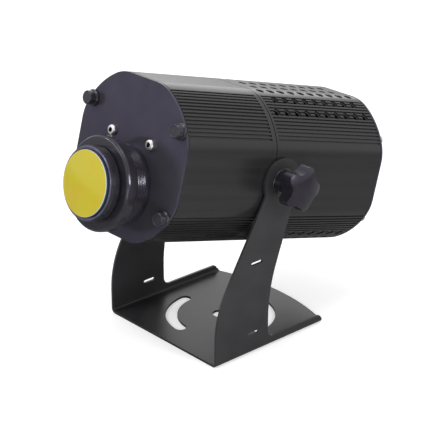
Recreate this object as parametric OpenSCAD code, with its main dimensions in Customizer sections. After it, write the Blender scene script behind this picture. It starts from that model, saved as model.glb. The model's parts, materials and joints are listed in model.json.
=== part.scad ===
// Water wave effect light: a round-bodied projector with flat sides on a bent sheet bracket.
// The origin is the middle of the base plate's centre hole, on the floor. The lens faces -Y.
// Lamp pieces are drawn in the lamp's own frame: x across, y towards the rear, z up,
// with zero on the tilt axis. The module lamp() turns and lifts that frame into place.

/* [Bracket] */
// Thickness of the bracket's sheet
sheet_t = 3; // [2:0.5:4]
// Inside radius of the sheet's two bends
bend_r = 3; // [2:0.5:5]
// Distance from the centre hole to the base plate's front edge
base_front = 97; // [90:1:110]
// Distance from the centre hole to the back of the base plate's curved rear edge
base_rear = 101; // [90:1:115]
// Radius of the curved rear edge
rear_edge_r = 277; // [240:1:330]
// Height of the side lips behind the arms
lip_h = 12; // [9:0.5:16]
// Radius of the centre hole
centre_hole_r = 10; // [6:0.5:14]
// Radius of the middle line of the two curved base slots
slot_mid_r = 62.5; // [56:0.5:68]
// Width of the two curved base slots
slot_w = 15; // [10:0.5:18]
// Angle that each curved base slot spans between its end centres
slot_span = 80; // [40:1:100]
// Length of an arm where it stands on the base
arm_foot = 85; // [75:1:95]
// Radius of the arm's round head
arm_head_r = 28.5; // [24:0.5:34]
// Length of the small slots in the arms
arm_slot_l = 18.5; // [12:0.5:24]
// Height of the small slots in the arms
arm_slot_h = 4; // [3:0.5:6]
// Height of the lower arm slots above the floor
arm_slot_low = 27; // [22:0.5:40]
// Distance of the lower arm slots behind the base plate's front edge
arm_slot_low_y = 60.5; // [50:0.5:65]
// Height of the upper arm slots above the floor
arm_slot_high = 119; // [90:0.5:130]
// Distance of the upper arm slots behind the base plate's front edge
arm_slot_high_y = 65.5; // [60:0.5:72]

/* [Tilt] */
// Height of the tilt axis above the floor
pivot_z = 211; // [206:0.5:230]
// Distance of the tilt axis behind the centre hole
pivot_y = 9; // [0:0.5:20]
// Angle that the lens end is raised
tilt = 15.5; // [0:0.5:30]
// Radius of the knob's threaded stud
stud_r = 4; // [3:0.5:5]
// Radius of the fibre pads between arms and lamp
pad_r = 27; // [18:0.5:30]
// Thickness of the fibre pads between arms and lamp
pad_t = 3; // [1:0.5:8]
// Thickness of the washers under the knobs
washer_t = 1.6; // [1:0.1:2.5]
// Radius of the washers under the knobs
washer_r = 17; // [12:0.5:20]

/* [Side knobs] */
// Distance of each lobe's centre from the knob's axis
lobe_at = 21; // [19:0.5:23]
// Radius of each lobe's rounded end
lobe_r = 7; // [6:0.5:7.5]
// Distance from the knob's axis to the bottom of each valley between lobes
knob_valley = 20.3; // [19:0.1:21]
// Depth of the lobed head
knob_head = 20; // [12:0.5:24]
// Length of the knob's neck
knob_neck = 18.5; // [8:0.5:24]
// Number of lobes on the knob
lobes = 5; // [3:1:6]
// Radius of the knob's neck
knob_neck_r = 12; // [9:0.5:16]

/* [Lamp body] */
// Radius of the lamp's round section
body_r = 100; // [97:0.5:106]
// Depth of the section's four flats below its round parts
flat_in = 6; // [5:0.25:8]
// Radius of the arcs that blend the flats into the round parts
corner_r = 50; // [40:5:65]
// Wall thickness of the two tubes
wall = 3.5; // [3:0.5:5]
// Distance from the tilt axis to the front cover's face
lamp_front = 157; // [150:1:170]
// Distance from the tilt axis to the rear cover's face
lamp_rear = 180; // [175:1:200]
// Thickness of the two covers
cover_t = 3; // [3:0.5:6]
// Thickness of the two gaskets
gasket_t = 1; // [1:0.5:3]
// Width of the joint ring between the tubes
ring_w = 11; // [9:0.5:14]
// Distance from the tilt axis forward to the joint ring's rear face
ring_back = 9; // [8.5:0.5:12]
// Number of cooling grooves in each quarter
grooves = 14; // [6:1:16]
// Width of a cooling groove
groove_w = 2.2; // [1.5:0.1:2.6]
// Depth of a cooling groove
groove_d = 1.6; // [0.8:0.1:1.8]
// Distance of the cover screws in from the section's round rim
screw_in = 6.2; // [6:0.1:7]
// Angle of the cover screws above and below the side flats' middle
screw_turn = 32.6; // [30:0.1:36]

/* [Vents] */
// Diameter of the round vent holes
vent_d = 10; // [6:0.5:12]
// Spacing of the vent holes along the tube
vent_pitch = 17.8; // [15:0.1:22]
// Spacing of the vent rows round the tube
vent_row = 20; // [16:0.5:24]
// Number of vent holes in a full row
vents = 10; // [5:1:10]

/* [Lens] */
// Height of the lens axis above the section's lower flat
lens_up = 62; // [60:0.5:66]
// Outer radius of the lens mount
mount_r = 48; // [46:0.5:50]
// Length of the lens mount's thick part
mount_l = 26; // [20:0.5:30]
// Outer radius of the focus ring
focus_r = 55.5; // [52:0.5:58]
// Length of the focus ring
focus_l = 14; // [12:0.5:18]
// Radius of the sliding lens barrel
barrel_r = 38; // [36:0.5:40]
// Outer radius of the barrel's head
head_r = 43.5; // [43:0.5:46]
// Length of the barrel's head with its bright ring
head_l = 13.1; // [10:0.1:18]
// Radius of the visible front glass
glass_r = 38.3; // [34:0.1:38.5]
// Distance that the front glass stands out of the bright ring
glass_proud = 3.3; // [0.5:0.1:5]

/* [Wave drive] */
// Height of the wave disc's axis above the lamp's axis
disc_z = 18; // [17:0.5:19]
// Gap between the rippled glass disc and the tube's upper flat
disc_gap = 2.5; // [2:0.5:6]
// Thickness of the rippled glass
disc_t = 3; // [2:0.5:4]
// Teeth on the disc gear
gear_teeth = 56; // [50:1:57]
// Teeth on the drive pinion
pinion_teeth = 18; // [17:1:20]
// Tooth size, pitch diameter over number of teeth
tooth_size = 1; // [0.9:0.05:1.05]

/* [Hidden] */
$fn = 96;

// Clearances: turning and sliding fits, free gaps round a part, holes round a screw
fit = 0.06;
gap = 0.3;
screw_gap = 0.3;
eps = 0.01;

// Where the lamp's pieces follow each other along its axis
tube_front = -lamp_front + cover_t + gasket_t;
ring_front = -ring_back - ring_w;
tube_rear = lamp_rear - cover_t - gasket_t;
cover_in = -lamp_front + cover_t;
rear_in = lamp_rear - cover_t;
body_af = 2 * (body_r - flat_in);
flat_x = body_af / 2;
inner_r = body_r - wall;
inner_af = body_af - 2 * wall;
bracket_w = body_af + 2 * (pad_t + sheet_t);
arm_in = bracket_w / 2 - sheet_t;
knob_x = bracket_w / 2 + washer_t;

// Cover screws
m6_r = 3;
port_r = 6.5;
screw_x = (body_r - screw_in) * cos(screw_turn);
screw_z = (body_r - screw_in) * sin(screw_turn);

// Lens stack, as distances in front of the front cover
lens_drop = flat_x - lens_up;
neck_l = mount_l + 10;
neck_r = 44;
focus_front = mount_l + focus_l;
head_back = focus_front + 1;
head_front = head_back + head_l;
lens_ring_t = 3;
lens_ring_r = 42.5;
lens_ring_seat = 1.2;
lens_thread_r = 41;
barrel_wall = 3;
barrel_tail = 20;
glass_seat = 39.7;

// Wave drive, along the lamp's axis
plate_t = 2.5;
plate_front = -112;
plate_back = plate_front + plate_t;
gear_t = 5;
gear_front = plate_back + 4;
gear_back = gear_front + gear_t;
disc_front = gear_back + gap;
disc_r = inner_af / 2 - disc_z - disc_gap;
axle_r = 3;
hub_r = 8;
pinion_z = disc_z + tooth_size * (gear_teeth + pinion_teeth) / 2;
backlash = 0.2;
beam_r = 20;
motor_r = 25;
motor_l = 22;
standoff_x = 34.5;
standoff_up = 55.2;
standoff_z = standoff_up - lens_drop;

// Light engine
sink_t = 8;
sink_w = 121;
sink_h = 116;
sink_up = 22;
sink_z = sink_up - lens_drop;
fin_l = 46;
led_t = 1.6;
cone_r = 30;
cone_wall = 3;
cone_front = -80;
web_t = 4;
web_hole_r = 36;
fan_w = 92;
fan_screw_in = 6.5;
fan_screw_at = fan_w / 2 - fan_screw_in;
fan_t = 25;
fan_back = -ring_back + sink_t + fin_l;

// Gland
gland_z = -50;
gland_r = 8;

module lamp() {
    translate([0, pivot_y, pivot_z])
        rotate([-tilt, 0, 0])
            children();
}

// A cylinder along the lamp's axis from y0 to y1
module rod(r, y0, y1, x = 0, z = 0) {
    translate([x, y0, z])
        rotate([-90, 0, 0])
            cylinder(r = r, h = y1 - y0);
}

// A cylinder across the lamp from x0 to x1
module cross_rod(r, x0, x1, y = 0, z = 0) {
    translate([x0, y, z])
        rotate([0, 90, 0])
            cylinder(r = r, h = x1 - x0);
}

module block(from, to) {
    translate(from)
        cube(to - from);
}

// Extrudes an outline drawn in x and z along the lamp's axis
module along(y0, y1) {
    translate([0, y1, 0])
        rotate([90, 0, 0])
            linear_extrude(y1 - y0)
                children();
}

module at_screws() {
    for (sx = [-1, 1], sz = [-1, 1])
        translate([sx * screw_x, sz * screw_z])
            children();
}

// Round, with four flats and an arc between each flat and the round part.
// The arcs of all sections have the same centres, so a wall keeps its thickness.
module section(r, af) {
    blend = corner_r + r - body_r;
    a = af / 2 - blend;
    b = sqrt(pow(r - blend, 2) - a * a);
    turn = atan2(b, a);
    round_part = arc(0, 0, r, turn, 90 - turn, 12);
    quarter = concat(arc(a, b, blend, 0, turn, 6), [for (i = [1:11]) round_part[i]],
                     arc(b, a, blend, 90 - turn, 90, 6));
    polygon(concat(
        quarter,
        [for (p = quarter) [-p[1], p[0]]],
        [for (p = quarter) -p],
        [for (p = quarter) [p[1], -p[0]]]
    ));
}

// The bracket

function arc(cx, cy, r, a0, a1, n) =
    [for (i = [0:n]) [cx + r * cos(a0 + (a1 - a0) * i / n), cy + r * sin(a0 + (a1 - a0) * i / n)]];

front_arc_r = 130;
front_lean = 31;
front_arc_z = 32;
rear_arc_r = 200;
rear_lean = 21;
rear_arc_z = 40;
foot_fillet = 10;
head_fillet = 9;
lip_end = 81;
base_end = base_rear + 6;

// Outline of one arm with its lip, in y and z, from the bend upwards
module arm_outline() {
    low = sheet_t + bend_r;
    fy = -base_front;
    ry = -base_front + arm_foot;
    head = [pivot_y, pivot_z];
    f_top = [fy + front_arc_r * (1 - cos(front_lean)), front_arc_z + front_arc_r * sin(front_lean)];
    r_top = [ry + rear_arc_r * (1 - cos(rear_lean)), rear_arc_z + rear_arc_r * sin(rear_lean)];
    // The hollow corner between the leaning front edge and the round head
    out = [-cos(front_lean), sin(front_lean)];
    up = [sin(front_lean), cos(front_lean)];
    off = head_fillet + (f_top - head) * out;
    far = arm_head_r + head_fillet;
    mid = head + off * out - sqrt(far * far - off * off) * up;
    turn = atan2(pivot_z - mid[1], pivot_y - mid[0]);
    polygon(concat(
        [[fy, low]],
        [for (p = arc(fy + front_arc_r, front_arc_z, front_arc_r, 180, 180 - front_lean, 8)) p],
        [for (p = arc(mid[0], mid[1], head_fillet, -front_lean, turn - 1, 6)) p],
        [head + (mid - head) * (arm_head_r - 1) / far],
        [head],
        [head + (arm_head_r - 1) * [cos(rear_lean), -sin(rear_lean)]],
        [for (p = arc(ry + rear_arc_r, rear_arc_z, rear_arc_r, 180 - rear_lean, 180, 7)) p],
        [for (p = arc(ry + foot_fillet, lip_h + foot_fillet, foot_fillet, 180, 270, 6)) p],
        [for (p = arc(lip_end - lip_h + low, low, lip_h - low, 90, 0, 6)) p]
    ));
    translate(head)
        circle(arm_head_r);
}

module arm_slot(z, y) {
    l = arm_slot_l / 2 - arm_slot_h / 2;
    for (s = [-1, 1])
        cross_rod(arm_slot_h / 2, arm_in - eps, bracket_w / 2 + eps, y + s * l, z);
    block([arm_in - eps, y - l, z - arm_slot_h / 2], [bracket_w / 2 + eps, y + l, z + arm_slot_h / 2]);
}

module arm_and_bend() {
    x_out = bracket_w / 2;
    difference() {
        translate([arm_in, 0, 0])
            rotate([90, 0, 90])
                linear_extrude(sheet_t)
                    arm_outline();
        arm_slot(arm_slot_low, -base_front + arm_slot_low_y);
        arm_slot(arm_slot_high, -base_front + arm_slot_high_y);
        cross_rod(stud_r + fit, arm_in - 1, x_out + 1, pivot_y, pivot_z);
    }
    // The bend, a quarter tube along the base's side
    intersection() {
        translate([x_out - sheet_t - bend_r, -base_front, sheet_t + bend_r])
            rotate([-90, 0, 0])
                difference() {
                    cylinder(r = sheet_t + bend_r, h = base_end - 6 + base_front);
                    translate([0, 0, -1])
                        cylinder(r = bend_r, h = base_end + base_front + 2);
                }
        block([x_out - sheet_t - bend_r, -base_front - 1, -1], [x_out + 1, base_end + 1, sheet_t + bend_r]);
    }
}

// A slot round the centre hole; its round ends are a hair narrower, so no two walls are tangent
module curved_slot() {
    end_r = slot_w / 2 - 0.04;
    intersection() {
        difference() {
            cylinder(r = slot_mid_r + slot_w / 2, h = 3 * sheet_t, center = true);
            cylinder(r = slot_mid_r - slot_w / 2, h = 4 * sheet_t, center = true);
        }
        rotate([0, 0, -slot_span / 2])
            translate([0, 0, -2 * sheet_t])
                cube([2 * slot_mid_r, 2 * slot_mid_r, 4 * sheet_t]);
        rotate([0, 0, slot_span / 2 - 90])
            translate([0, 0, -2 * sheet_t])
                cube([2 * slot_mid_r, 2 * slot_mid_r, 4 * sheet_t]);
    }
    for (a = [-slot_span / 2, slot_span / 2])
        rotate([0, 0, a])
            translate([slot_mid_r, 0, 0])
                cylinder(r = end_r, h = 3 * sheet_t, center = true);
}

module bracket() {
    flat_w = bracket_w - 2 * (sheet_t + bend_r);
    color("#3a3a3b")
        intersection() {
            union() {
                arm_and_bend();
                mirror([1, 0, 0])
                    arm_and_bend();
                difference() {
                    block([-flat_w / 2, -base_front, 0], [flat_w / 2, base_end, sheet_t]);
                    cylinder(r = centre_hole_r, h = 3 * sheet_t, center = true);
                    for (a = [45, 225])
                        rotate([0, 0, a])
                            curved_slot();
                }
            }
            translate([0, base_rear - rear_edge_r, -1])
                cylinder(r = rear_edge_r, h = pivot_z + 2 * arm_head_r, $fn = 180);
        }
}

// The tilt clamp

module both_sides() {
    children();
    mirror([1, 0, 0])
        children();
}

module pivot_pads() {
    color("#222222")
        lamp()
            both_sides()
                difference() {
                    cross_rod(pad_r, flat_x, arm_in);
                    cross_rod(stud_r + gap, flat_x - 1, arm_in + 1);
                }
}

module knob_washers() {
    color("#333336")
        lamp()
            both_sides()
                difference() {
                    cross_rod(washer_r, bracket_w / 2, knob_x);
                    cross_rod(stud_r + gap, bracket_w / 2 - 1, knob_x + 1);
                }
}

nut_t = 8;
nut_end = flat_x - wall - nut_t;

module pivot_nuts() {
    color("#8f9296")
        lamp()
            both_sides()
                difference() {
                    block([nut_end, -ring_back + gap, -20], [flat_x - wall, -ring_back + gap + 26, 20]);
                    cross_rod(stud_r + fit, nut_end - 1, flat_x);
                }
}

first_lobe = 4.5;

// Round lobes with a hollow arc between each two, which touches both
module knob_outline() {
    half = 180 / lobes;
    lobe_in = lobe_at * cos(half);
    valley_r = (pow(lobe_r, 2) - pow(knob_valley, 2) - pow(lobe_at, 2) + 2 * knob_valley * lobe_in)
        / (2 * (knob_valley - lobe_in - lobe_r));
    valley_at = knob_valley + valley_r;
    turn = atan2(valley_at * sin(half), valley_at * cos(half) - lobe_at);
    hollow = arc(valley_at * cos(half), valley_at * sin(half), valley_r, turn + 180, 2 * half - turn + 180, 6);
    one = concat(arc(lobe_at, 0, lobe_r, -turn, turn, 8), [for (i = [1:5]) hollow[i]]);
    polygon([for (i = [0:lobes - 1], p = one)
        let (a = 360 / lobes * i + first_lobe)
            [p[0] * cos(a) - p[1] * sin(a), p[0] * sin(a) + p[1] * cos(a)]]);
}

module side_knob() {
    top = knob_x + knob_neck + knob_head;
    difference() {
        union() {
            cross_rod(knob_neck_r, knob_x, knob_x + knob_neck + eps);
            intersection() {
                translate([knob_x + knob_neck, 0, 0])
                    rotate([90, 0, 90])
                        linear_extrude(knob_head)
                            knob_outline();
                translate([top - 3 * lobe_at, 0, 0])
                    sphere(r = 3 * lobe_at);
            }
        }
        cross_rod(stud_r + fit, knob_x - 1, knob_x + knob_neck + knob_head / 2 + fit);
    }
}

module side_knob_right() {
    color("#2d2c30")
        lamp()
            side_knob();
}

module side_knob_left() {
    color("#2d2c30")
        lamp()
            mirror([1, 0, 0])
                side_knob();
}

module knob_stud() {
    cross_rod(stud_r, nut_end + 1, knob_x + knob_neck + knob_head / 2);
}

module knob_stud_right() {
    color("#c4c6c9")
        lamp()
            knob_stud();
}

module knob_stud_left() {
    color("#c4c6c9")
        lamp()
            mirror([1, 0, 0])
                knob_stud();
}

// The lamp's casing

first_groove = 26.2;
last_groove = 61.7;

module groove_cuts() {
    step = (last_groove - first_groove) / (grooves - 1);
    for (side = [0, 1], top = [0, 1])
        mirror([side, 0])
            mirror([0, top])
                for (i = [0:grooves - 1])
                    rotate(-first_groove - i * step)
                        translate([-groove_w / 2, body_r - groove_d])
                            square([groove_w, 2 * groove_d]);
}

// Wall of a tube with the four screw ports, without the bores
module tube_wall() {
    difference() {
        section(body_r, body_af);
        difference() {
            section(inner_r, inner_af);
            at_screws()
                circle(port_r);
        }
    }
}

module tube_outline() {
    difference() {
        tube_wall();
        at_screws()
            circle(m6_r + fit);
        groove_cuts();
    }
}

module front_tube() {
    color("#39393b")
        lamp()
            along(tube_front, ring_front)
                tube_outline();
}

// The vent rows: distance round the section from the crown, first two rows on the flat
flat_half = sqrt(pow(body_r - corner_r, 2) - pow(flat_x - corner_r, 2));
blend_turn = atan2(flat_half, flat_x - corner_r);
blend_end = flat_half + corner_r * blend_turn * PI / 180;
first_vent = 11.5;

module vent(s, y) {
    if (s < flat_half)
        translate([s, y, inner_af / 2 - 2 * wall])
            cylinder(d = vent_d, h = 6 * wall);
    else if (s < blend_end)
        translate([flat_half, y, flat_x - corner_r])
            rotate([0, (s - flat_half) * 180 / PI / corner_r, 0])
                translate([0, 0, corner_r - 3 * wall])
                    cylinder(d = vent_d, h = 6 * wall);
    else
        rotate([0, blend_turn + (s - blend_end) * 180 / PI / body_r, 0])
            translate([0, y, inner_r - 2 * wall])
                cylinder(d = vent_d, h = 6 * wall);
}

module vent_cuts() {
    for (side = [0, 1], top = [0, 1])
        mirror([side, 0, 0])
            mirror([0, 0, top])
                for (row = [0:3], i = [0:vents - 1 - (row + 1) % 2])
                    vent(vent_row * (row + 0.5),
                         -ring_back + first_vent + (i + ((row + 1) % 2) / 2) * vent_pitch);
}

module rear_tube() {
    color("#39393b")
        lamp()
            difference() {
                along(-ring_back, tube_rear)
                    tube_outline();
                vent_cuts();
                both_sides()
                    cross_rod(stud_r + gap, inner_af / 2 - 1, flat_x + 1);
            }
}

ring_groove_at = 3.5;
ring_groove_w = 1.2;
ring_groove_d = 1.5;
spigot_l = 6;
spigot_t = 2.5;

module joint_ring() {
    color("#3d3d3f")
        lamp()
            difference() {
                union() {
                    along(ring_front, -ring_back)
                        difference() {
                            section(body_r, body_af);
                            section(inner_r, inner_af);
                        }
                    // Inner web that carries the heat sink
                    along(-ring_back - web_t, -ring_back)
                        difference() {
                            section(inner_r + eps, inner_af + 2 * eps);
                            translate([0, -lens_drop])
                                circle(web_hole_r);
                        }
                    // Spigot into the front tube
                    along(ring_front - spigot_l, ring_front)
                        difference() {
                            section(inner_r - gap, inner_af - 2 * gap);
                            section(inner_r - gap - spigot_t, inner_af - 2 * gap - 2 * spigot_t);
                            at_screws()
                                circle(port_r + gap);
                        }
                    along(ring_front - eps, ring_front + 2)
                        difference() {
                            section(inner_r + eps, inner_af + 2 * eps);
                            section(inner_r - gap - spigot_t, inner_af - 2 * gap - 2 * spigot_t);
                        }
                }
                along(-ring_back - ring_groove_at - ring_groove_w, -ring_back - ring_groove_at)
                    difference() {
                        section(2 * body_r, 2 * body_af);
                        section(body_r - ring_groove_d, body_af - 2 * ring_groove_d);
                    }
                at_sink_screws()
                    rod(2.5, -ring_back - web_t - 1, -ring_back + 1);
            }
}

module cover_outline(hole) {
    difference() {
        section(body_r, body_af);
        at_screws()
            circle(hole);
    }
}

module front_cover() {
    color("#46434f")
        lamp()
            difference() {
                along(-lamp_front, cover_in)
                    cover_outline(m6_r + screw_gap);
                rod(neck_r + gap, -lamp_front - 1, cover_in + 1, 0, -lens_drop);
                at_standoffs()
                    rod(m6_r + screw_gap, -lamp_front - 1, cover_in + 1);
            }
}

module rear_cover() {
    color("#46434f")
        lamp()
            difference() {
                along(rear_in, lamp_rear)
                    cover_outline(m6_r + screw_gap);
                rod(gland_r + screw_gap, rear_in - 1, lamp_rear + 1, 0, gland_z);
                at_driver_screws()
                    rod(2 + fit, rear_in - 1, rear_in + cover_t - 0.8);
            }
}

gasket_inset = 0.6;
gasket_band = 12;

module gasket(y0) {
    along(y0, y0 + gasket_t)
        difference() {
            section(body_r - gasket_inset, body_af - 2 * gasket_inset);
            section(inner_r - gasket_band + wall, inner_af - gasket_band);
            at_screws()
                circle(m6_r + screw_gap);
        }
}

module front_gasket() {
    color("#1b1b1b")
        lamp()
            gasket(cover_in);
}

module rear_gasket() {
    color("#1b1b1b")
        lamp()
            gasket(tube_rear);
}

// Screws

thumb_flange_r = 11;
thumb_flange_t = 3.5;
thumb_r = 9;
thumb_l = 8.7;
thumb_notches = 20;
screw_reach = 14;

module thumb_screw(sx, sz) {
    face = -lamp_front;
    color("#262528")
        lamp()
            translate([sx * screw_x, 0, sz * screw_z]) {
                rod(m6_r, face - eps, face + cover_t + gasket_t + screw_reach);
                rod(thumb_flange_r, face - thumb_flange_t, face);
                along(face - thumb_flange_t - thumb_l, face - thumb_flange_t + eps)
                    difference() {
                        circle(thumb_r);
                        for (i = [0:thumb_notches - 1])
                            rotate(i * 360 / thumb_notches)
                                translate([thumb_r + 0.3, 0])
                                    circle(0.9);
                    }
            }
}

module thumb_screw_top_right() thumb_screw(1, 1);
module thumb_screw_top_left() thumb_screw(-1, 1);
module thumb_screw_low_right() thumb_screw(1, -1);
module thumb_screw_low_left() thumb_screw(-1, -1);

// A pan head screw along the lamp's axis, its head's seat at y, its head towards -y
module pan_screw(y, r, head_r, head_t, reach, socket = 6) {
    difference() {
        union() {
            rod(r, y - eps, y + reach);
            rod(head_r, y - head_t, y);
        }
        translate([0, y - head_t - 1, 0])
            rotate([-90, 0, 0])
                cylinder(r = head_r * 0.5, h = 1 + head_t * 0.6, $fn = socket);
    }
}

module rear_cover_screws() {
    color("#b9bcc0")
        lamp()
            for (sx = [-1, 1], sz = [-1, 1])
                translate([sx * screw_x, lamp_rear, sz * screw_z])
                    mirror([0, 1, 0])
                        pan_screw(0, m6_r, 6, 3.5, cover_t + gasket_t + screw_reach);
}

module at_standoffs() {
    for (sx = [-1, 1])
        translate([sx * standoff_x, 0, standoff_z])
            children();
}

module drive_plate_screws() {
    color("#d5d3d8")
        lamp()
            at_standoffs()
                pan_screw(-lamp_front, m6_r, 6.3, 4.5, cover_t + screw_reach);
}

// The lens

module lens_rod(r, h0, h1) {
    rod(r, -lamp_front - h1, -lamp_front - h0, 0, -lens_drop);
}

module lens_mount() {
    color("#2c2b31")
        lamp()
            difference() {
                union() {
                    lens_rod(mount_r, 0, mount_l - 0.5);
                    lens_rod(neck_r, -cover_t - 8, neck_l);
                }
                lens_rod(barrel_r + fit, -cover_t - 9, neck_l + 1);
                key_rod(key_r + fit, barrel_r - 1, mount_r + 1);
            }
}

// A short pin from below that keeps the barrel from turning
key_r = 2;
key_at = 12;
key_deep = 1.4;

module key_rod(r, low, high) {
    translate([0, -lamp_front - key_at, -lens_drop - high])
        cylinder(r = r, h = high - low);
}

module barrel_key() {
    color("#8f9296")
        lamp()
            difference() {
                key_rod(key_r, barrel_r - key_deep + gap, mount_r - 1);
                translate([0, -lamp_front - key_at, -lens_drop - mount_r])
                    cylinder(r = 1.15, h = 4, $fn = 6);
            }
}

module lens_mount_nut() {
    color("#55555a")
        lamp()
            difference() {
                lens_rod(neck_r + 8, -cover_t - 6, -cover_t);
                lens_rod(neck_r + fit, -cover_t - 7, -cover_t + 1);
            }
}

// The ring's front edge is rounded more along its length than across
focus_round = 3;

module focus_ring() {
    color("#29282d")
        lamp()
            translate([0, -lamp_front - mount_l, -lens_drop])
                rotate([90, 0, 0])
                    rotate_extrude()
                        polygon(concat(
                            [[neck_r + fit, 0], [focus_r - 1, 0], [focus_r, 1]],
                            [for (a = [0:18:90])
                                [focus_r - focus_round * (1 - cos(a)), focus_l - 2 * focus_round * (1 - sin(a))]],
                            [[barrel_r + fit, focus_l], [barrel_r + fit, neck_l - mount_l + gap],
                             [neck_r + fit, neck_l - mount_l + gap]]
                        ));
}

seat_t = 7;

module lens_barrel() {
    front = head_front - lens_ring_t + lens_ring_seat;
    tail = -barrel_tail;
    color("#242327")
        lamp()
            difference() {
                barrel_turned(front, tail);
                block([-key_r - 0.15, -lamp_front - key_at - 9, -lens_drop - barrel_r - 1],
                      [key_r + 0.15, -lamp_front + barrel_tail + 1, -lens_drop - barrel_r + key_deep]);
            }
}

// The barrel's profile, radius against distance in front of the cover
module barrel_turned(front, tail) {
    bore = barrel_r - barrel_wall;
    seat = front - lens_ring_seat;
    translate([0, -lamp_front, -lens_drop])
        rotate([90, 0, 0])
            rotate_extrude()
                polygon([
                    [barrel_r, tail], [barrel_r, head_back], [head_r - 1, head_back],
                    [head_r, head_back + 1], [head_r, front - 0.5], [head_r - 0.5, front],
                    [lens_thread_r + fit, front], [lens_thread_r + fit, seat], [glass_seat + 0.2, seat],
                    [glass_seat + 0.2, seat - seat_t], [glass_r - 1.5, seat - seat_t],
                    [glass_r - 1.5, head_back], [bore, head_back - 3],
                    [bore, 12], [bore - 3, 12], [bore - 3, 10], [bore, 10], [bore, tail]
                ]);
}

// Screwed into the barrel's head, with an inner lip that holds the glass
module lens_ring() {
    color("#b3aeca")
        lamp()
            translate([0, -lamp_front - head_front + lens_ring_t, -lens_drop])
                rotate([90, 0, 0])
                    rotate_extrude()
                        polygon([
                            [glass_r + gap, 0], [lens_thread_r, 0], [lens_thread_r, lens_ring_seat],
                            [lens_ring_r, lens_ring_seat], [lens_ring_r, lens_ring_t],
                            [lens_ring_r - 2.5, lens_ring_t], [lens_ring_r - 2.5, lens_ring_t / 2],
                            [glass_r + gap, lens_ring_t / 2]
                        ]);
}

module front_lens() {
    back = head_front - lens_ring_t - seat_t;
    crown_r = 260;
    face = head_front + glass_proud + crown_r - sqrt(crown_r * crown_r - glass_r * glass_r);
    color("#c6b840")
        lamp()
            union() {
                lens_rod(glass_seat, back, back + seat_t - 0.05);
                intersection() {
                    lens_rod(glass_r, back + seat_t - 0.1, face + 1);
                    translate([0, -lamp_front - face + crown_r, -lens_drop])
                        sphere(r = crown_r, $fn = 180);
                }
            }
}

module rear_lens() {
    color("#cfe0e6")
        lamp()
            intersection() {
                lens_rod(barrel_r - barrel_wall - 0.2, 2, 10);
                translate([0, -lamp_front + 90 - 10, -lens_drop])
                    sphere(r = 90, $fn = 200);
            }
}

module rear_lens_ring() {
    color("#2a2a2a")
        lamp()
            difference() {
                lens_rod(barrel_r - barrel_wall - 0.1, -1, 2);
                lens_rod(barrel_r - barrel_wall - 3, -2, 3);
            }
}

// The wave drive

module drive_plate() {
    color("#8d9094")
        lamp()
            difference() {
                along(plate_front, plate_back)
                    section(inner_r - 9, inner_af - 16);
                rod(beam_r, plate_front - 1, plate_back + 1, 0, -lens_drop);
                rod(axle_r + 3 + fit, plate_front - 1, plate_back + 1, 0, disc_z);
                rod(axle_r + 3, plate_front - 1, plate_back + 1, 0, pinion_z);
                at_standoffs()
                    rod(m6_r - 0.4, plate_front - 1, plate_back + 1);
                at_motor_screws()
                    rod(1.7, plate_front - 1, plate_back + 1);
                at_screws_3d()
                    rod(port_r + 2, plate_front - 1, plate_back + 1);
            }
}

module at_screws_3d() {
    for (sx = [-1, 1], sz = [-1, 1])
        translate([sx * screw_x, 0, sz * screw_z])
            children();
}

module drive_standoffs() {
    color("#c9a24a")
        lamp()
            at_standoffs()
                difference() {
                    translate([0, cover_in, 0])
                        rotate([-90, 0, 0])
                            cylinder(r = 6, h = plate_front - cover_in, $fn = 6);
                    rod(m6_r + fit, cover_in - 1, cover_in + screw_reach + 1);
                    rod(2.5 + fit, plate_front - 12, plate_front + 1);
                }
}

module standoff_screws() {
    color("#b9bcc0")
        lamp()
            at_standoffs()
                translate([0, plate_back, 0])
                    mirror([0, 1, 0])
                        pan_screw(0, 2.5, 4.4, 3, plate_t + 9);
}

glass_half = 25;

module ripple_glass() {
    color("#bcd3de")
        lamp()
            block([-glass_half, plate_front - disc_t, -lens_drop - glass_half],
                  [glass_half, plate_front, -lens_drop + glass_half]);
}

module glass_clips() {
    color("#9fa2a6")
        lamp()
            for (s = [-1, 1])
                difference() {
                    union() {
                        block([s * (glass_half + 5) - 4.5, plate_front - disc_t - 1.2, -lens_drop - 6],
                              [s * (glass_half + 5) + 4.5, plate_front - disc_t - eps, -lens_drop + 6]);
                        block([s * (glass_half + 5.2) - 4, plate_front - disc_t - 1.2, -lens_drop - 6],
                              [s * (glass_half + 5.2) + 4, plate_front, -lens_drop + 6]);
                    }
                    block([-glass_half - gap, plate_front - disc_t - eps, -lens_drop - glass_half],
                          [glass_half + gap, plate_front + 1, -lens_drop + glass_half]);
                }
}

module at_motor_screws() {
    for (s = [-1, 1])
        translate([s * (motor_r + 4), 0, pinion_z + 6])
            children();
}

module wave_motor() {
    color("#b7b3a6")
        lamp()
            difference() {
                union() {
                    rod(motor_r, plate_front - motor_l, plate_front, 0, pinion_z);
                    block([-motor_r - 8, plate_front - 1.5, pinion_z], [motor_r + 8, plate_front, pinion_z + 12]);
                }
                rod(axle_r + fit, plate_front - 12, plate_front + 1, 0, pinion_z);
                at_motor_screws()
                    rod(1.7, plate_front - 4, plate_front + 1);
            }
}

module motor_screws() {
    color("#b9bcc0")
        lamp()
            at_motor_screws()
                pan_screw(plate_front - 1.5, 1.5, 3, 2, 1.5 + plate_t + 3);
}

module motor_shaft() {
    color("#c4c6c9")
        lamp()
            rod(axle_r, plate_front - 11, gear_back - 0.4, 0, pinion_z);
}

// A spur gear with involute flanks, drawn flat, one tooth on the +x axis when phase is 0
function involute(base, r) = sqrt(pow(r / base, 2) - 1) * 180 / PI - acos(base / r);

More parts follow.
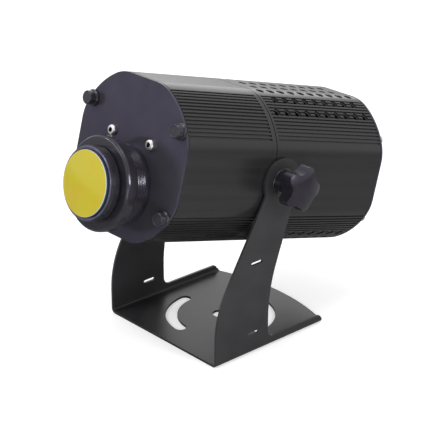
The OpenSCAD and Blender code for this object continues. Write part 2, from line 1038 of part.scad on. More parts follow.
module gear_outline(teeth, phase) {
    pitch = tooth_size * teeth / 2;
    base = pitch * cos(20);
    tip = pitch + 0.9 * tooth_size;
    root = pitch - 1.2 * tooth_size;
    start = max(base, root);
    half = 90 / teeth - backlash / 4 * 180 / PI / pitch + involute(base, pitch);
    rr = [for (i = [0:3]) start + (tip - start) * i / 3];
    flank = [for (r = rr) [r, half - involute(base, r)]];
    polygon([for (t = [0:teeth - 1], p = concat(
        [[root, -flank[0][1]]],
        [for (f = flank) [f[0], -f[1]]],
        [for (i = [3:-1:0]) flank[i]],
        [[root, flank[0][1]]]))
        p[0] * [cos(p[1] + (t + phase) * 360 / teeth), sin(p[1] + (t + phase) * 360 / teeth)]]);
}

module gear(teeth, phase, y0, y1, z, bore) {
    difference() {
        translate([0, 0, z])
            along(y0, y1)
                rotate(90)
                    gear_outline(teeth, phase);
        rod(bore, y0 - 1, y1 + 1, 0, z);
    }
}

// The pinion stands above the disc gear: a tooth of the gear points up into a gap of the pinion
module drive_pinion() {
    color("#d9d4c4")
        lamp()
            gear(pinion_teeth, 0.5 + pinion_teeth / 2, gear_front - 0.8, gear_back - 0.4, pinion_z, axle_r + 0.03);
}

module disc_gear() {
    color("#d9d4c4")
        lamp()
            difference() {
                union() {
                    gear(gear_teeth, 0, gear_front, gear_back, disc_z, axle_r + 0.03);
                    rod(hub_r, gear_back - eps, disc_front + disc_t + 4, 0, disc_z);
                }
                rod(axle_r + 0.03, gear_front - 1, disc_front + disc_t + 5, 0, disc_z);
            }
}

module shaft_bush() {
    color("#b08d4f")
        lamp()
            difference() {
                union() {
                    rod(axle_r + 3, plate_front - 1, plate_back + 2, 0, disc_z);
                    rod(axle_r + 6, plate_front - 3, plate_front, 0, disc_z);
                }
                rod(axle_r + fit, plate_front - 4, plate_back + 3, 0, disc_z);
            }
}

module disc_shaft() {
    color("#c4c6c9")
        lamp() {
            rod(axle_r, plate_front - 5, disc_front + disc_t + 5, 0, disc_z);
            rod(axle_r + 2, plate_front - 5, plate_front - 3 - 0.1, 0, disc_z);
        }
}

module wave_disc() {
    color("#bcd3de")
        lamp()
            difference() {
                rod(disc_r, disc_front, disc_front + disc_t, 0, disc_z);
                rod(hub_r + 0.1, disc_front - 1, disc_front + disc_t + 1, 0, disc_z);
            }
}

module disc_clamp() {
    color("#9fa2a6")
        lamp()
            difference() {
                rod(hub_r + 6, disc_front + disc_t, disc_front + disc_t + 3, 0, disc_z);
                rod(hub_r + 0.1, disc_front + disc_t - 1, disc_front + disc_t + 4, 0, disc_z);
            }
}

// The light engine

seat_a = cone_front + 12;
seat_b = -ring_back - 20;

module condenser_housing() {
    color("#8f9296")
        lamp()
            difference() {
                union() {
                    rod(cone_r, cone_front, -ring_back, 0, -lens_drop);
                    rod(web_hole_r - gap, -ring_back - 3, -ring_back, 0, -lens_drop);
                }
                rod(cone_r - cone_wall, cone_front - 1, seat_a, 0, -lens_drop);
                rod(cone_r - cone_wall - 2, seat_a - 1, seat_b, 0, -lens_drop);
                rod(cone_r - cone_wall, seat_b, -ring_back + 1, 0, -lens_drop);
                at_flange_screws()
                    rod(1.7, -ring_back - 4, -ring_back + 1);
            }
}

// Four screws in the condenser's flange and four in the lamp module
module at_flange_screws() {
    for (a = [0:90:270])
        translate([0, 0, -lens_drop])
            rotate([0, a, 0])
                translate([(cone_r + web_hole_r - gap) / 2, 0, 0])
                    children();
}

module at_led_screws() {
    for (sx = [-1, 1], sz = [-1, 1])
        translate([sx * 14.5, 0, -lens_drop + sz * 14.5])
            children();
}

module light_engine_screws() {
    color("#b9bcc0")
        lamp() {
            at_flange_screws()
                pan_screw(-ring_back - 3, 1.5, 2.7, 2, 9);
            at_led_screws()
                pan_screw(-ring_back - led_t, 1.5, 2.7, 2, 9);
        }
}

condenser_crown_r = 50;
condenser_t = 9;

module condenser_lens(y, way) {
    translate([0, y, -lens_drop])
        mirror([0, way, 0])
            intersection() {
                rod(cone_r - cone_wall - 0.1, 0, condenser_t);
                translate([0, condenser_t - condenser_crown_r, 0])
                    sphere(r = condenser_crown_r);
            }
}

module condenser_front_lens() {
    color("#cfe0e6")
        lamp()
            condenser_lens(seat_a, 1);
}

module condenser_rear_lens() {
    color("#cfe0e6")
        lamp()
            condenser_lens(seat_b, 0);
}

module led_module() {
    color("#e8e4d0")
        lamp()
            difference() {
                union() {
                    block([-18, -ring_back - led_t, -lens_drop - 18], [18, -ring_back, -lens_drop + 18]);
                    rod(9, -ring_back - led_t - 1, -ring_back - led_t + eps, 0, -lens_drop);
                }
                at_led_screws()
                    rod(1.7, -ring_back - 3, -ring_back + 1);
            }
}

sink_screw_in = 8;
sink_screw_x = sink_w / 2 - sink_screw_in;
sink_screw_z = sink_h / 2 - sink_screw_in;

module at_sink_screws() {
    for (sx = [-1, 1], sz = [-1, 1])
        translate([sx * sink_screw_x, 0, sink_z + sz * sink_screw_z])
            children();
}

// The fins are spaced so that the fan's screws go between two of them
fin_t = 2;
fin_pitch = fan_screw_at / 5;
fins = 2 * floor((sink_w - fin_t) / fin_pitch / 2 + 0.5);

module heat_sink() {
    back = -ring_back + sink_t;
    color("#a9abae")
        lamp()
            difference() {
                union() {
                    block([-sink_w / 2, -ring_back, sink_z - sink_h / 2], [sink_w / 2, back, sink_z + sink_h / 2]);
                    for (i = [0:fins - 1])
                        translate([(i - (fins - 1) / 2) * fin_pitch - fin_t / 2, 0, 0])
                            block([0, back - eps, sink_z - sink_h / 2], [fin_t, back + fin_l, sink_z + sink_h / 2]);
                }
                at_sink_screws()
                    rod(2 + fit, -ring_back - 1, back - 1);
                at_flange_screws()
                    rod(1.5 + fit, -ring_back - 1, back - 0.6);
                at_led_screws()
                    rod(1.5 + fit, -ring_back - 1, back - 0.3);
            }
}

module heat_sink_screws() {
    color("#b9bcc0")
        lamp()
            at_sink_screws()
                pan_screw(-ring_back - web_t, 2, 3.5, 2.6, web_t + 6);
}

fan_hub_r = 19;
fan_rim = 4;
fan_blade_r = fan_w / 2 - fan_rim;
fan_chord = 30;
fan_y = fan_back;

module fan_frame() {
    h = fan_w / 2;
    color("#1f1f20")
        lamp()
            difference() {
                block([-h, fan_y, sink_z - h], [h, fan_y + fan_t, sink_z + h]);
                difference() {
                    rod(fan_blade_r + 2, fan_y - 1, fan_y + fan_t + 1, 0, sink_z);
                    rod(fan_hub_r, fan_y + fan_t - 4, fan_y + fan_t + 2, 0, sink_z);
                    for (a = [45:90:315])
                        translate([0, 0, sink_z])
                            rotate([0, a, 0])
                                block([0, fan_y + fan_t - 4, -2], [fan_blade_r + 4, fan_y + fan_t + 2, 2]);
                }
                rod(1.5 + fit, fan_y + fan_t - 5, fan_y + fan_t + 3, 0, sink_z);
                at_fan_screws()
                    rod(2.2, fan_y - 1, fan_y + fan_t + 1);
            }
}

module at_fan_screws() {
    for (sx = [-1, 1], sz = [-1, 1])
        translate([sx * fan_screw_at, 0, sink_z + sz * fan_screw_at])
            children();
}

fan_blades = 7;

module fan_rotor() {
    y0 = fan_y + 1;
    y1 = fan_y + fan_t - 5;
    color("#2a2a2b")
        lamp()
            union() {
                rod(fan_hub_r, y0, y1, 0, sink_z);
                rod(1.5, y1 - eps, fan_y + fan_t - 0.5, 0, sink_z);
                intersection() {
                    difference() {
                        rod(fan_blade_r, y0, y1, 0, sink_z);
                        rod(fan_hub_r - 2, y0 - 1, y1 + 1, 0, sink_z);
                    }
                    translate([0, (y0 + y1) / 2, sink_z])
                        for (i = [0:fan_blades - 1])
                            rotate([0, i * 360 / fan_blades, 0])
                                translate([fan_hub_r - 1, 0, 0])
                                    rotate([38, 0, 0])
                                        translate([0, -fan_chord / 2, -0.9])
                                            cube([fan_blade_r - fan_hub_r + 4, fan_chord, 1.8]);
                }
            }
}

module fan_screws() {
    color("#b9bcc0")
        lamp()
            at_fan_screws()
                translate([0, fan_y + fan_t, 0])
                    mirror([0, 1, 0])
                        pan_screw(0, 1.9, 3.6, 2.4, fan_t + 8);
}

driver_w = 90;
driver_h = 38;
driver_front = 84;
driver_back = rear_in - 12;
driver_low = -18;
driver_screw_at = 30;
leg_t = 2;

module at_driver_screws() {
    for (s = [-1, 1])
        translate([s * driver_screw_at, 0, driver_low + driver_h * 0.6])
            children();
}

module driver_bracket() {
    color("#9a9da1")
        lamp()
            difference() {
                union() {
                    block([-driver_w / 2, driver_front, driver_low - leg_t], [driver_w / 2, rear_in - eps, driver_low]);
                    block([-driver_w / 2, rear_in - leg_t, driver_low - leg_t],
                          [driver_w / 2, rear_in, driver_low + driver_h]);
                }
                at_driver_screws()
                    rod(2.3, rear_in - leg_t - 1, rear_in + 1);
            }
}

module driver_screws() {
    color("#b9bcc0")
        lamp()
            at_driver_screws()
                pan_screw(rear_in - leg_t, 2, 3.6, 2.4, leg_t + cover_t - 1);
}

block_w = 48;
block_l = 18;
block_h = 14;
block_back = 20;
block_pitch = 9;
block_rows = 8;

module terminal_block() {
    top = driver_low - leg_t;
    front = driver_front + block_back;
    color("#dcd8cc")
        lamp()
            difference() {
                block([-block_w / 2, front, top - block_h], [block_w / 2, front + block_l, top]);
                for (i = [-2:2], j = [-0.5, 0.5])
                    translate([i * block_pitch, front + block_l / 2 + j * block_rows, top - block_h - 1])
                        cylinder(r = 2.2, h = 4);
            }
}

module led_driver() {
    color("#c7c9cb")
        lamp()
            block([-driver_w / 2 + 2, driver_front, driver_low], [driver_w / 2 - 2, driver_back, driver_low + driver_h]);
}

module cable_gland() {
    color("#1e1e1f")
        lamp()
            difference() {
                union() {
                    rod(gland_r, rear_in - 8, lamp_rear + 2, 0, gland_z);
                    translate([0, lamp_rear, gland_z])
                        rotate([-90, 0, 0])
                            cylinder(r = 13, h = 5, $fn = 6);
                    rod(10.5, lamp_rear + 5 - eps, lamp_rear + 14, 0, gland_z);
                    rod(8.5, lamp_rear + 14 - eps, lamp_rear + 17, 0, gland_z);
                }
                rod(4.5, rear_in - 9, lamp_rear + 18, 0, gland_z);
            }
}

module gland_nut() {
    color("#1e1e1f")
        lamp()
            difference() {
                translate([0, rear_in - 5, gland_z])
                    rotate([-90, 0, 0])
                        cylinder(r = 13, h = 5, $fn = 6);
                rod(gland_r + 0.05, rear_in - 6, rear_in + 1, 0, gland_z);
            }
}

bracket();
pivot_pads();
knob_washers();
pivot_nuts();
side_knob_right();
side_knob_left();
knob_stud_right();
knob_stud_left();
front_tube();
joint_ring();
rear_tube();
front_cover();
front_gasket();
rear_cover();
rear_gasket();
thumb_screw_top_right();
thumb_screw_top_left();
thumb_screw_low_right();
thumb_screw_low_left();
rear_cover_screws();
drive_plate_screws();
lens_mount();
lens_mount_nut();
focus_ring();
lens_barrel();
lens_ring();
front_lens();
rear_lens();
rear_lens_ring();
drive_plate();
drive_standoffs();
standoff_screws();
ripple_glass();
glass_clips();
wave_motor();
motor_screws();
motor_shaft();
drive_pinion();
shaft_bush();
disc_shaft();
disc_gear();
wave_disc();
disc_clamp();
condenser_housing();
condenser_front_lens();
condenser_rear_lens();
led_module();
heat_sink();
heat_sink_screws();
fan_frame();
fan_rotor();
fan_screws();
driver_bracket();
led_driver();
cable_gland();
gland_nut();
barrel_key();
light_engine_screws();
driver_screws();
terminal_block();
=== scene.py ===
"""Water wave projector: the finishes and the fine shapes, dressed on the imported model."""
import json
import math

import bpy
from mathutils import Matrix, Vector

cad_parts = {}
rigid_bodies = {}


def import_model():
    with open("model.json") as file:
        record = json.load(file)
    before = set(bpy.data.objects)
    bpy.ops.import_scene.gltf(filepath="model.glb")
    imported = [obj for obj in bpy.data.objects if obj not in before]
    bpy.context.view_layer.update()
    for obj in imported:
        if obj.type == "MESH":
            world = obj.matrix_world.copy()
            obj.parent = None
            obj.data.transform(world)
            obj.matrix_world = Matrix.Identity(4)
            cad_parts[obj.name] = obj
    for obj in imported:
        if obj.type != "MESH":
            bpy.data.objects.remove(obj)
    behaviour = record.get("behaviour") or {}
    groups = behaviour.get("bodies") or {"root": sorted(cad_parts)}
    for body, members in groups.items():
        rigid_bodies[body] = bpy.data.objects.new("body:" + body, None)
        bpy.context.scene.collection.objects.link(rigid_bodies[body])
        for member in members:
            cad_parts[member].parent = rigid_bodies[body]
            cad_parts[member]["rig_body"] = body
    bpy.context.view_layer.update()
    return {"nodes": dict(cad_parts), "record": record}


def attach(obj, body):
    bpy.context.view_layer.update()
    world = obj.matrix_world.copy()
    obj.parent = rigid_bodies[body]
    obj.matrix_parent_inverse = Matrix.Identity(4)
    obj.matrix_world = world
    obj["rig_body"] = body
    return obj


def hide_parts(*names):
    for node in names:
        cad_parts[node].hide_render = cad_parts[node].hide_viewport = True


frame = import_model()
bpy.ops.object.select_all(action="DESELECT")

# The photograph's camera, in metres, fitted to the base, the casing and the lens rings
bpy.ops.object.camera_add(location=(1.22506, -1.10357, 0.84815),
                          rotation=(math.radians(66.70), 0, math.radians(47.98)))
camera = bpy.context.object
camera.data.sensor_fit = "HORIZONTAL"
camera.data.sensor_width = 36
camera.data.lens = 118.29
bpy.context.scene.camera = camera

# The lamp's own directions: x across, u towards the rear cover, w up, in mm from the tilt axis
JOINTS = {joint["name"]: joint for joint in frame["record"]["behaviour"]["joints"]}
PIVOT = Vector(JOINTS["lamp_tilt"]["pos_m"])
TILT = math.radians(15.5)
FORWARD = Vector((0, -math.cos(TILT), math.sin(TILT)))
UP = Vector((0, math.sin(TILT), math.cos(TILT)))
# this rotation lays a primitive's own axis along the lamp
ALONG = (math.radians(90) - TILT, 0, 0)

# The front cover's outer face, and the lens axis's height from the tilt axis, in mm
COVER_FACE = -157
LENS_DROP = -32

# The casing's inner side lies below this radius and this near to the axis both ways, in mm; it is painted a
# paler grey as painted light in the vents
INSIDE_R = 98
INSIDE_HALF = 92

# The vents on the smooth crown and keel lie this near the middle, beyond this radius and between these
# places along the lamp, in mm
CROWN_HALF = 42
CROWN_R = 93.5
FIRST_VENT = -8.5
LAST_VENT = 175

# The lens mount, in mm: the radii of its bore, its tube and its grip, and the focus ring's gap round the tube
BORE_R = 38.1
TUBE_R = 44
GRIP_R = 48
RING_GAP = 0.06

# The front glass, in mm: its radius, its face's distance in front of the cover, and its dome's radius
GLASS_R = 38.3
GLASS_FACE = 57.4
DOME_R = 260

# The lines round a turned thumb screw, and the places of the two domed screws, across and up, in mm
THUMB_SIDES = 120
DOMED_X = 34.5
DOMED_W = 23.2

# A pattern's size along the lamp, in mm, that makes it the same all the way
ENDLESS = 1e6

# Colour sockets of a Mix node: its first, its second, and the mixed one
FIRST, SECOND, MIXED = 6, 7, 2

# The wave texture's rings repeat every 0.314 units
RING_UNITS = 0.314


def lamp(x, u, w):
    """A point given in the lamp's own directions, in metres in the model's frame."""
    return PIVOT + Vector((x, u * math.cos(TILT) + w * math.sin(TILT),
                           w * math.cos(TILT) - u * math.sin(TILT))) / 1000


def lens(h):
    """A point on the lens axis, h mm in front of the front cover."""
    return lamp(0, COVER_FACE - h, LENS_DROP)


# Finishes

def linear(paint):
    """The linear colour of an sRGB hex value."""
    channels = [int(paint[i:i + 2], 16) / 255 for i in (1, 3, 5)]
    return [c / 12.92 if c <= 0.04045 else ((c + 0.055) / 1.055) ** 2.4 for c in channels] + [1]


def add(finish, kind, inputs=None, **settings):
    """Adds one node to a finish; an input is a value, or a socket to link from."""
    node = finish.node_tree.nodes.new(kind)
    for name, value in settings.items():
        setattr(node, name, value)
    for name, value in (inputs or {}).items():
        if isinstance(value, bpy.types.NodeSocket):
            finish.node_tree.links.new(value, node.inputs[name])
        else:
            node.inputs[name].default_value = value
    return node


def new_finish(name, **sockets):
    """An empty finish with its shader; sockets are the shader's constants."""
    finish = bpy.data.materials.new(name)
    finish.use_nodes = True
    shader = finish.node_tree.nodes["Principled BSDF"]
    for socket, value in sockets.items():
        shader.inputs[socket.replace("_", " ")].default_value = value
    return finish, shader


def pattern(finish, size, centre=PIVOT, turn=-TILT):
    """Pattern space laid along the lamp: one unit is size mm across, along and up."""
    place = add(finish, "ShaderNodeTexCoord")
    return add(finish, "ShaderNodeMapping",
               {"Vector": place.outputs["Object"], "Location": centre, "Rotation": (turn, 0, 0),
                "Scale": [s / 1000 for s in size]}, vector_type="TEXTURE").outputs["Vector"]


def blotched(finish, shader, space, light, dark, low=0.35, high=0.65, detail=3.0):
    """Lets the colour drift between two tones over the pattern space."""
    drift = add(finish, "ShaderNodeTexNoise", {"Vector": space, "Scale": 1.0, "Detail": detail})
    tones = add(finish, "ShaderNodeValToRGB", {"Fac": drift.outputs["Fac"]})
    tones.color_ramp.elements[0].position = low
    tones.color_ramp.elements[0].color = linear(dark)
    tones.color_ramp.elements[1].position = high
    tones.color_ramp.elements[1].color = linear(light)
    finish.node_tree.links.new(tones.outputs["Color"], shader.inputs["Base Color"])
    return drift.outputs["Fac"]


def sheen_range(finish, shader, source, smooth, rough):
    """Lets the roughness run from smooth to rough with a pattern."""
    spread = add(finish, "ShaderNodeMapRange", {"Value": source, "To Min": smooth, "To Max": rough})
    finish.node_tree.links.new(spread.outputs["Result"], shader.inputs["Roughness"])


def raised(finish, shader, source, depth):
    """Raises the surface by depth mm where a pattern is high."""
    bump = add(finish, "ShaderNodeBump", {"Height": source, "Distance": depth / 1000, "Strength": 1.0})
    finish.node_tree.links.new(bump.outputs["Normal"], shader.inputs["Normal"])


def overlaid(finish, shader, where, colour):
    """Lays another colour over the finish's own where a pattern is 1."""
    own = shader.inputs["Base Color"].links[0].from_socket
    both = add(finish, "ShaderNodeMix", {"Factor": where, FIRST: own, SECOND: colour}, data_type="RGBA")
    finish.node_tree.links.new(both.outputs[MIXED], shader.inputs["Base Color"])


def powder_coat():
    """Polyester powder coat, sprayed and baked on steel sheet: satin black with a soft orange peel."""
    finish, shader = new_finish("powder_coated_steel", IOR=1.46)
    # the bracket stands upright, so its patterns aren't tilted with the lamp
    upright = {"centre": (0, 0, 0), "turn": 0}
    blotched(finish, shader, pattern(finish, (30, 30, 30), **upright), "#2e2e30", "#28282a")
    # orange peel of 1.6 mm
    peel = add(finish, "ShaderNodeTexNoise",
               {"Vector": pattern(finish, (1.6, 1.6, 1.6), **upright), "Scale": 1.0, "Detail": 1.0})
    sheen_range(finish, shader, peel.outputs["Fac"], 0.3, 0.42)
    raised(finish, shader, peel.outputs["Fac"], 0.05)
    return finish


def anodised_extrusion():
    """Extruded aluminium, anodised and dyed black over fine die lines; its inner side is painted a paler
    grey, painted light for the vents' insides.
    """
    finish, shader = new_finish("anodised_extrusion", IOR=1.4)
    blotched(finish, shader, pattern(finish, (10, 400, 10)), "#262627", "#212122")
    # a mask of the casing's inner side, where light is painted on
    across = add(finish, "ShaderNodeVectorMath", {0: pattern(finish, (1, ENDLESS, 1))}, operation="ABSOLUTE")
    sides = add(finish, "ShaderNodeSeparateXYZ", {0: across.outputs["Vector"]})
    side = add(finish, "ShaderNodeMath", {0: sides.outputs["X"], 1: sides.outputs["Z"]}, operation="MAXIMUM")
    reach = add(finish, "ShaderNodeVectorMath", {0: across.outputs["Vector"]}, operation="LENGTH")
    within = add(finish, "ShaderNodeMath", {0: side.outputs[0], 1: INSIDE_HALF}, operation="LESS_THAN")
    below = add(finish, "ShaderNodeMath", {0: reach.outputs["Value"], 1: INSIDE_R}, operation="LESS_THAN")
    inside = add(finish, "ShaderNodeMath", {0: within.outputs[0], 1: below.outputs[0]}, operation="MULTIPLY")
    # painted light: the inner side, seen through the vents, is painted a paler grey
    overlaid(finish, shader, inside.outputs[0], linear("#58595b"))
    # die lines, drawn 0.9 mm apart; real ones are about 0.2 mm and wouldn't show
    lines = add(finish, "ShaderNodeTexNoise",
                {"Vector": pattern(finish, (0.9, 160, 0.9)), "Scale": 1.0, "Detail": 2.0})
    sheen_range(finish, shader, lines.outputs["Fac"], 0.2, 0.3)
    raised(finish, shader, lines.outputs["Fac"], 0.008)
    return finish


def anodised_plate():
    """Aluminium plate, brushed once, anodised and dyed a violet black: smooth, with a soft mirror."""
    finish, shader = new_finish("anodised_plate", IOR=1.46, Specular_Tint=(0.48, 0.36, 0.95, 1))
    blotched(finish, shader, pattern(finish, (40, 40, 40)), "#39383d", "#333237")
    # brush lines, drawn 1 mm apart; real ones are about 0.1 mm and wouldn't show
    grain = add(finish, "ShaderNodeTexNoise",
                {"Vector": pattern(finish, (60, 1.0, 0.8)), "Scale": 1.0, "Detail": 2.0})
    sheen_range(finish, shader, grain.outputs["Fac"], 0.16, 0.24)
    raised(finish, shader, grain.outputs["Fac"], 0.004)
    return finish


def tool_rings(finish, pitch):
    """Rings left by the lathe tool, pitch mm apart to show, where real ones are about 0.1 mm. They are
    spheres round a point on the lens axis, so they mark faces and flanks alike."""
    unit = pitch / RING_UNITS
    return add(finish, "ShaderNodeTexWave",
               {"Vector": pattern(finish, (unit, unit, unit), lens(-60)), "Scale": 1.0, "Distortion": 0.4,
                "Detail": 1.0, "Detail Scale": 0.3},
               wave_type="RINGS", rings_direction="SPHERICAL").outputs["Fac"]


def turned_black():
    """Turned aluminium, anodised black: satin, with the tool's rings."""
    finish, shader = new_finish("turned_black_aluminium", IOR=1.5, Specular_Tint=(0.86, 0.82, 1, 1))
    blotched(finish, shader, pattern(finish, (12, 12, 12)), "#29282c", "#222125")
    rings = tool_rings(finish, 1.1)
    sheen_range(finish, shader, rings, 0.13, 0.2)
    raised(finish, shader, rings, 0.012)
    return finish


def bright_turned():
    """Turned aluminium left bright: a metal ring with fine tool rings and a cool cast."""
    finish, shader = new_finish("bright_turned_aluminium", Metallic=1.0)
    blotched(finish, shader, pattern(finish, (8, 8, 8)), "#7f7b93", "#6a667d")
    rings = tool_rings(finish, 0.8)
    sheen_range(finish, shader, rings, 0.2, 0.34)
    raised(finish, shader, rings, 0.02)
    return finish


def moulded_nylon():
    """Glass-filled nylon, moulded black in a spark-eroded tool: a fine, slightly shiny grain."""
    finish, shader = new_finish("moulded_nylon", IOR=1.52, Specular_Tint=(0.85, 0.8, 1, 1))
    blotched(finish, shader, pattern(finish, (9, 9, 9)), "#211f25", "#1b1a1e")
    # grain, drawn 0.7 mm wide to show; the tool's is 0.2 mm
    grain = add(finish, "ShaderNodeTexNoise",
                {"Vector": pattern(finish, (0.7, 0.7, 0.7)), "Scale": 1.0, "Detail": 2.0})
    sheen_range(finish, shader, grain.outputs["Fac"], 0.16, 0.26)
    raised(finish, shader, grain.outputs["Fac"], 0.015)
    return finish


def zinc_plate():
    """Steel, zinc plated and clear passivated: bright metal with a faint blue to straw drift."""
    finish, shader = new_finish("zinc_plated_steel", Metallic=1.0)
    blotched(finish, shader, pattern(finish, (5, 5, 5)), "#dcdde2", "#cbc9c2")
    # haze of the plating's crystals, drawn 0.8 mm wide; they are about 0.05 mm and wouldn't show
    haze = add(finish, "ShaderNodeTexNoise",
               {"Vector": pattern(finish, (0.8, 0.8, 0.8)), "Scale": 1.0, "Detail": 2.0})
    sheen_range(finish, shader, haze.outputs["Fac"], 0.3, 0.45)
    raised(finish, shader, haze.outputs["Fac"], 0.01)
    return finish


def black_zinc():
    """Steel, black zinc plated: a thin dark gloss that blotches every 4 mm."""
    finish, shader = new_finish("black_zinc_steel", IOR=1.6, Coat_Weight=0.4, Coat_Roughness=0.1)
    haze = blotched(finish, shader, pattern(finish, (4, 4, 4)), "#26262b", "#1a1a1e")
    sheen_range(finish, shader, haze, 0.15, 0.3)
    return finish


def sheet_rubber():
    """Black EPDM rubber sheet, cut: dead matt with a fine bloom."""
    finish, shader = new_finish("sheet_rubber", IOR=1.5)
    blotched(finish, shader, pattern(finish, (3, 3, 3)), "#1b1b1b", "#131313")
    # bloom, drawn 0.6 mm wide; its specks are about 0.1 mm and wouldn't show
    grain = add(finish, "ShaderNodeTexNoise",
                {"Vector": pattern(finish, (0.6, 0.6, 0.6)), "Scale": 1.0, "Detail": 3.0})
    sheen_range(finish, shader, grain.outputs["Fac"], 0.65, 0.85)
    raised(finish, shader, grain.outputs["Fac"], 0.04)
    return finish


def yellow_glass():
    """Crown glass with a yellow interference coat: a white ground chamfer, then a dark teal edge."""
    finish, shader = new_finish("yellow_coated_glass", IOR=1.45)
    # the coat drifts from lemon to straw over some 28 mm
    blotched(finish, shader, pattern(finish, (28, 28, 28), lens(59)), "#c3ad2c", "#bfb428",
             low=0.4, high=0.72, detail=1.0)
    # 1 at the rim's radius, at any depth
    reach = add(finish, "ShaderNodeVectorMath", {0: pattern(finish, (GLASS_R, ENDLESS, GLASS_R), lens(0))},
                operation="LENGTH")
    rim = add(finish, "ShaderNodeValToRGB", {"Fac": reach.outputs["Value"]})
    rim.color_ramp.elements[0].position = 0.99
    rim.color_ramp.elements[1].position = 0.997
    # white on the chamfer, teal from 56.2 mm in front of the cover backwards
    depth = add(finish, "ShaderNodeSeparateXYZ", {0: pattern(finish, (1, 1, 1), lens(56.7))})
    edge = add(finish, "ShaderNodeValToRGB", {"Fac": depth.outputs["Y"]})
    edge.color_ramp.elements[0].color = linear("#bdbcc8")
    edge.color_ramp.elements[0].position = 0.1
    edge.color_ramp.elements[1].color = linear("#2c4247")
    edge.color_ramp.elements[1].position = 0.5
    overlaid(finish, shader, rim.outputs["Color"], edge.outputs["Color"])
    # settled dust, in patches of 1.5 mm
    dust = add(finish, "ShaderNodeTexNoise",
               {"Vector": pattern(finish, (1.5, 1.5, 1.5)), "Scale": 1.0, "Detail": 2.0})
    sheen_range(finish, shader, dust.outputs["Fac"], 0.12, 0.2)
    return finish


def clear_glass():
    """Polished crown glass: clear, with a faint haze of dust."""
    finish, shader = new_finish("polished_glass", IOR=1.52, Transmission_Weight=1.0)
    shader.inputs["Base Color"].default_value = linear("#f2f7f8")
    haze = add(finish, "ShaderNodeTexNoise",
               {"Vector": pattern(finish, (4, 4, 4)), "Scale": 1.0, "Detail": 2.0})
    sheen_range(finish, shader, haze.outputs["Fac"], 0.0, 0.05)
    return finish


def ripple_cast_glass():
    """Cast glass with a rippled face: clear, with swells 7 mm across that bend the light."""
    finish, shader = new_finish("rippled_glass", IOR=1.52, Roughness=0.02, Transmission_Weight=1.0)
    shader.inputs["Base Color"].default_value = linear("#e9f3f6")
    swell = add(finish, "ShaderNodeTexNoise",
                {"Vector": pattern(finish, (7, 7, 7)), "Scale": 1.0, "Detail": 1.0, "Distortion": 0.6})
    raised(finish, shader, swell.outputs["Fac"], 1.2)
    return finish


def galvanised_sheet():
    """Hot-dip galvanised steel sheet: dull metal with a spangle of 9 mm crystals."""
    finish, shader = new_finish("galvanised_sheet", Metallic=1.0)
    crystal = add(finish, "ShaderNodeTexVoronoi", {"Vector": pattern(finish, (9, 9, 9)), "Scale": 1.0})
    tones = add(finish, "ShaderNodeValToRGB", {"Fac": crystal.outputs["Color"]})
    tones.color_ramp.elements[0].color = linear("#8f9396")
    tones.color_ramp.elements[1].color = linear("#b4b7b9")
    finish.node_tree.links.new(tones.outputs["Color"], shader.inputs["Base Color"])
    sheen_range(finish, shader, crystal.outputs["Distance"], 0.35, 0.5)
    return finish


def turned_brass():
    """Free-cutting brass, turned: warm metal with fine tool rings."""
    finish, shader = new_finish("turned_brass", Metallic=1.0)
    blotched(finish, shader, pattern(finish, (5, 5, 5)), "#d9b45f", "#c49d49")
    rings = tool_rings(finish, 0.6)
    sheen_range(finish, shader, rings, 0.22, 0.36)
    raised(finish, shader, rings, 0.015)
    return finish


def machined_acetal():
    """Natural acetal, machined: waxy off-white with a soft gloss."""
    finish, shader = new_finish("machined_acetal", IOR=1.48, Subsurface_Weight=0.1, Subsurface_Scale=0.002)
    blotched(finish, shader, pattern(finish, (6, 6, 6)), "#e2ddcc", "#d3ccb7")
    rings = tool_rings(finish, 0.7)
    sheen_range(finish, shader, rings, 0.38, 0.5)
    raised(finish, shader, rings, 0.01)
    return finish


def pressed_can():
    """Deep-drawn steel can, dull zinc: soft metal with draw lines along its axis, drawn 0.8 mm apart."""
    finish, shader = new_finish("pressed_zinc_can", Metallic=1.0)
    blotched(finish, shader, pattern(finish, (6, 6, 6)), "#b8b4a8", "#a19d92")
    draw = add(finish, "ShaderNodeTexNoise",
               {"Vector": pattern(finish, (0.8, 20, 0.8)), "Scale": 1.0, "Detail": 2.0})
    sheen_range(finish, shader, draw.outputs["Fac"], 0.32, 0.5)
    raised(finish, shader, draw.outputs["Fac"], 0.015)
    return finish


def mill_aluminium():
    """Extruded aluminium, mill finish: pale metal with die lines along the fins, drawn 0.7 mm apart."""
    finish, shader = new_finish("mill_aluminium", Metallic=1.0)
    blotched(finish, shader, pattern(finish, (8, 60, 8)), "#c5c7c9", "#a9abad")
    lines = add(finish, "ShaderNodeTexNoise",
                {"Vector": pattern(finish, (0.7, 60, 0.7)), "Scale": 1.0, "Detail": 2.0})
    sheen_range(finish, shader, lines.outputs["Fac"], 0.28, 0.46)
    raised(finish, shader, lines.outputs["Fac"], 0.02)
    return finish


def led_board():
    """Alumina ceramic board with a round yellow phosphor fill: chalk white round a yellow disc."""
    finish, shader = new_finish("led_ceramic", IOR=1.7)
    # the fill is 11 mm in radius; along the lamp the pattern hardly changes
    space = pattern(finish, (11, 1000, 11), lamp(0, 0, LENS_DROP))
    reach = add(finish, "ShaderNodeVectorMath", {0: space}, operation="LENGTH")
    disc = add(finish, "ShaderNodeValToRGB", {"Fac": reach.outputs["Value"]})
    disc.color_ramp.interpolation = "CONSTANT"
    disc.color_ramp.elements[0].color = linear("#e6c84b")
    disc.color_ramp.elements[1].position = 0.98
    disc.color_ramp.elements[1].color = linear("#ece9e0")
    finish.node_tree.links.new(disc.outputs["Color"], shader.inputs["Base Color"])
    # the ceramic's grain, drawn 0.7 mm wide
    grain = add(finish, "ShaderNodeTexNoise",
                {"Vector": pattern(finish, (0.7, 0.7, 0.7)), "Scale": 1.0, "Detail": 2.0})
    sheen_range(finish, shader, grain.outputs["Fac"], 0.45, 0.6)
    return finish


